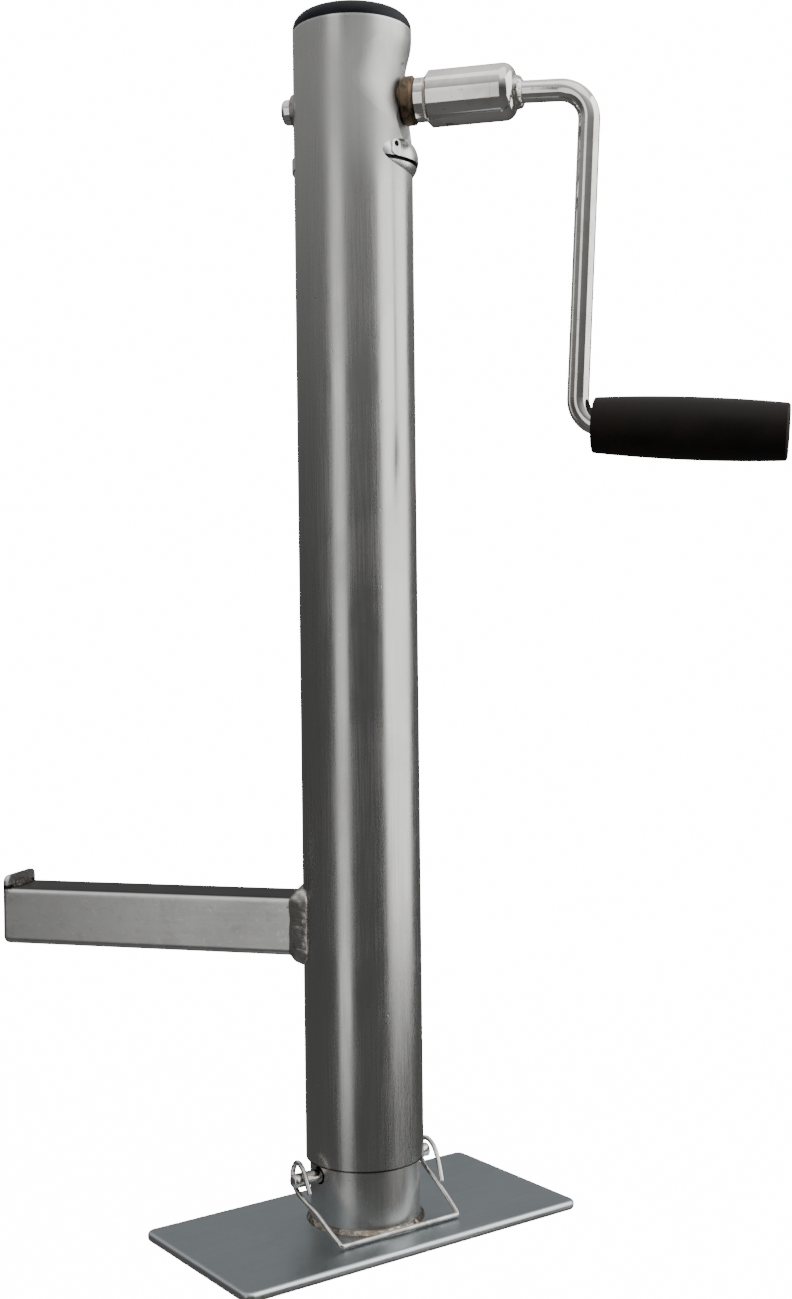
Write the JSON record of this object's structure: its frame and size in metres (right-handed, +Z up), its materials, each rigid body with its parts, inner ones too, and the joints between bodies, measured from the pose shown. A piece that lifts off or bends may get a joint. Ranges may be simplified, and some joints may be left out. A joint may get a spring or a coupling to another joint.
{
  "type": "trailer tongue jack",
  "caption": "Side-wind screw jack with a round tube, square mounting arm, cranked handle, telescoping inner leg and pinned rectangular foot plate.",
  "frame": {"origin": "centre of the foot plate's underside, on the axis of the tube", "axes": "+Z up the tube, +X towards the crank, -X along the mounting arm"},
  "size_m": [0.409, 0.2142, 0.6164],
  "materials": {
    "zinc_tube": "satin zinc plate with fine length-wise streaks",
    "zinc_arm": "satin zinc plate",
    "zinc_foot": "smooth grey zinc plate",
    "weld": "plated weld metal",
    "cap_plastic": "fine grain",
    "grip_rubber": "smooth dark moulding",
    "dark_bush": "oiled dark sintered steel",
    "clip_steel": "bright zinc plate",
    "bright_plate": "bright nickel-like plate",
    "machined_steel": "machined and greased",
    "pin_steel": "plain steel",
    "nylon": "natural nylon"
  },
  "bodies": {
    "housing": {"outer_tube": "zinc_tube", "top_cap": "cap_plastic", "arm_tube": "zinc_arm", "arm_end_plate": "zinc_arm", "arm_weld": "weld", "end_plate_weld": "weld", "crank_bush_outer": "dark_bush", "crank_bush_inner": "dark_bush", "bearing_clip_right": "clip_steel", "bearing_clip_left": "clip_steel", "bearing_seat": "machined_steel", "bearing_washer_upper": "machined_steel", "guide_bush": "nylon"},
    "crank": {"crank_shaft": "bright_plate", "bevel_pinion": "machined_steel", "pinion_roll_pin": "pin_steel", "crank_hub": "bright_plate", "hub_roll_pin": "pin_steel", "crank_rod": "bright_plate", "hub_weld": "weld", "grip_push_nut": "clip_steel"},
    "grip_sleeve": {"grip": "grip_rubber", "grip_end_plug": "cap_plastic"},
    "screw": {"lead_screw": "machined_steel", "bevel_gear": "machined_steel", "gear_roll_pin": "pin_steel", "thrust_collar": "machined_steel", "collar_pin": "pin_steel", "screw_stop_collar": "machined_steel", "screw_stop_pin": "pin_steel", "bearing_washer_lower": "machined_steel"},
    "balls": {"bearing_balls": "machined_steel", "bearing_cage": "clip_steel"},
    "leg": {"leg_tube": "zinc_tube", "lift_nut": "machined_steel", "nut_pins": "pin_steel", "foot_socket": "zinc_foot", "foot_plate": "zinc_foot", "foot_weld": "weld"},
    "lock": {"lock_pin": "bright_plate", "lock_pin_bail": "bright_plate"}
  },
  "joints": [
    {"name": "crank_turn", "type": "hinge", "parent": "housing", "child": "crank", "pos_m": [0, 0, 0.5676], "axis": [-1, 0, 0], "range_deg": [0, 27810]},
    {"name": "grip_spin", "type": "hinge", "parent": "crank", "child": "grip_sleeve", "pos_m": [0.1205, 0, 0.40207], "axis": [0.9971, 0, -0.0764], "continuous": true},
    {"name": "screw_turn", "type": "hinge", "parent": "housing", "child": "screw", "pos_m": [0, 0, 0], "axis": [0, 0, 1], "range_deg": [0, 21630.01]},
    {"name": "ball_roll", "type": "hinge", "parent": "housing", "child": "balls", "pos_m": [0, 0, 0], "axis": [0, 0, 1], "range_deg": [0, 10815.01]},
    {"name": "leg_slide", "type": "slide", "parent": "housing", "child": "leg", "axis": [0, 0, -1], "range_m": [0, 0.30042]},
    {"name": "bail_swing", "type": "hinge", "parent": "leg", "child": "lock", "pos_m": [0, 0, 0.0308], "axis": [-0.632, -0.7749, 0], "range_deg": [0, 64]}
  ],
  "couplings": [
    {"joint": "screw_turn", "follows": "crank_turn", "ratio": 0.77778},
    {"joint": "ball_roll", "follows": "crank_turn", "ratio": 0.38889},
    {"joint": "leg_slide", "follows": "crank_turn", "m_per_rad": 0.00061894}
  ]
}
